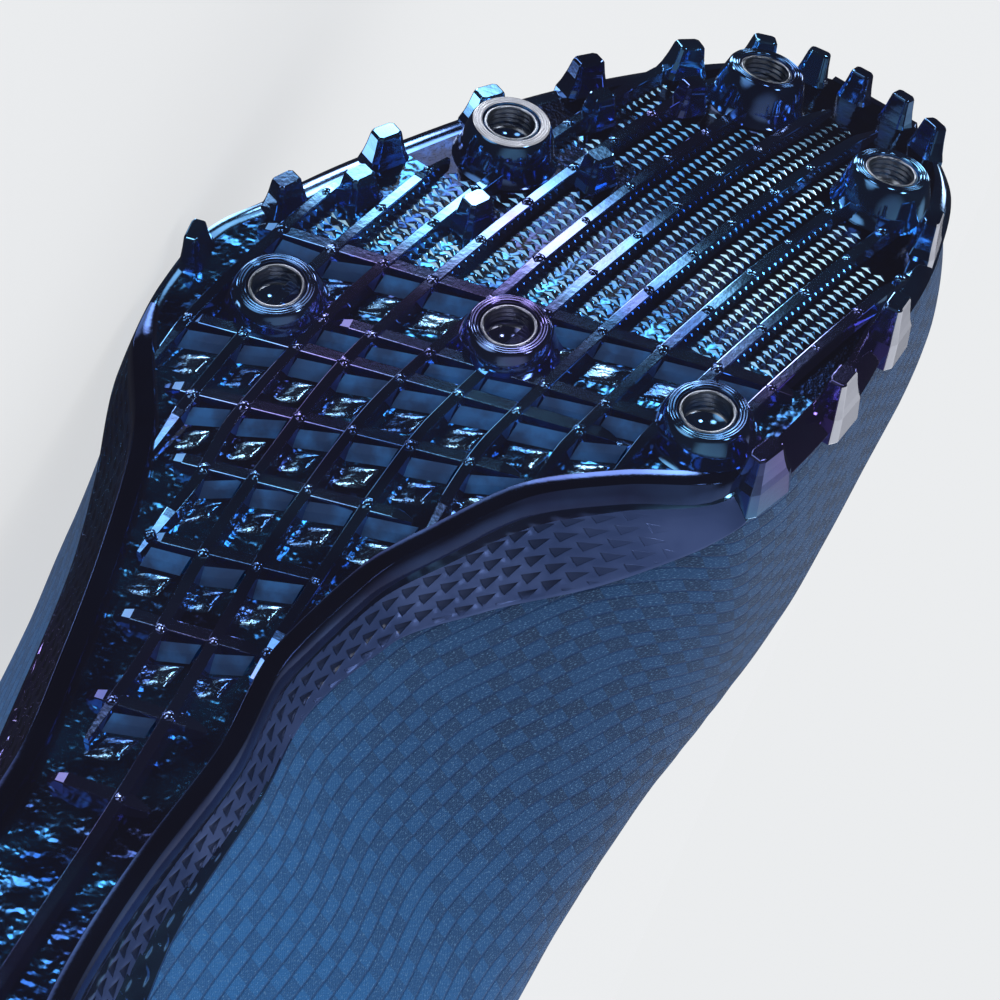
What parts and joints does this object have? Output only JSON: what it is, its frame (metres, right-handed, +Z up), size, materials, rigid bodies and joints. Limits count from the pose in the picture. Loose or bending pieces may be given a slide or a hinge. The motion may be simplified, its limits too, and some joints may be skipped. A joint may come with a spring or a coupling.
{
  "type": "track spike shoe",
  "caption": "Low running spike shoe for the right foot, lying on its outer side, with a ribbed and toothed spike plate, empty spike sockets, a fabric upper, tongue and laces.",
  "frame": {"origin": "middle of the shoe's box in X and Y, on the floor it lies on", "axes": "+Z up, -X towards the toe, -Y the way the sole faces, +Y the way the collar opens"},
  "size_m": [0.2896, 0.1048, 0.1003],
  "materials": {
    "spike_plate": "mirror-like dark blue with purple and cyan lights",
    "upper": "woven fabric, pinstriped with darker squares",
    "insole": "matt foam with a fabric face",
    "tongue": "padded mesh",
    "eyestay": "satin welded film",
    "laces": "flat woven lace",
    "spike_socket": "bright thread in dark metal"
  },
  "bodies": {
    "root": {"spike_plate": "spike_plate", "upper": "upper", "insole": "insole", "tongue": "tongue", "eyestay": "eyestay", "laces": "laces", "spike_socket_1": "spike_socket", "spike_socket_2": "spike_socket", "spike_socket_3": "spike_socket", "spike_socket_4": "spike_socket", "spike_socket_5": "spike_socket", "spike_socket_6": "spike_socket"}
  },
  "joints": []
}
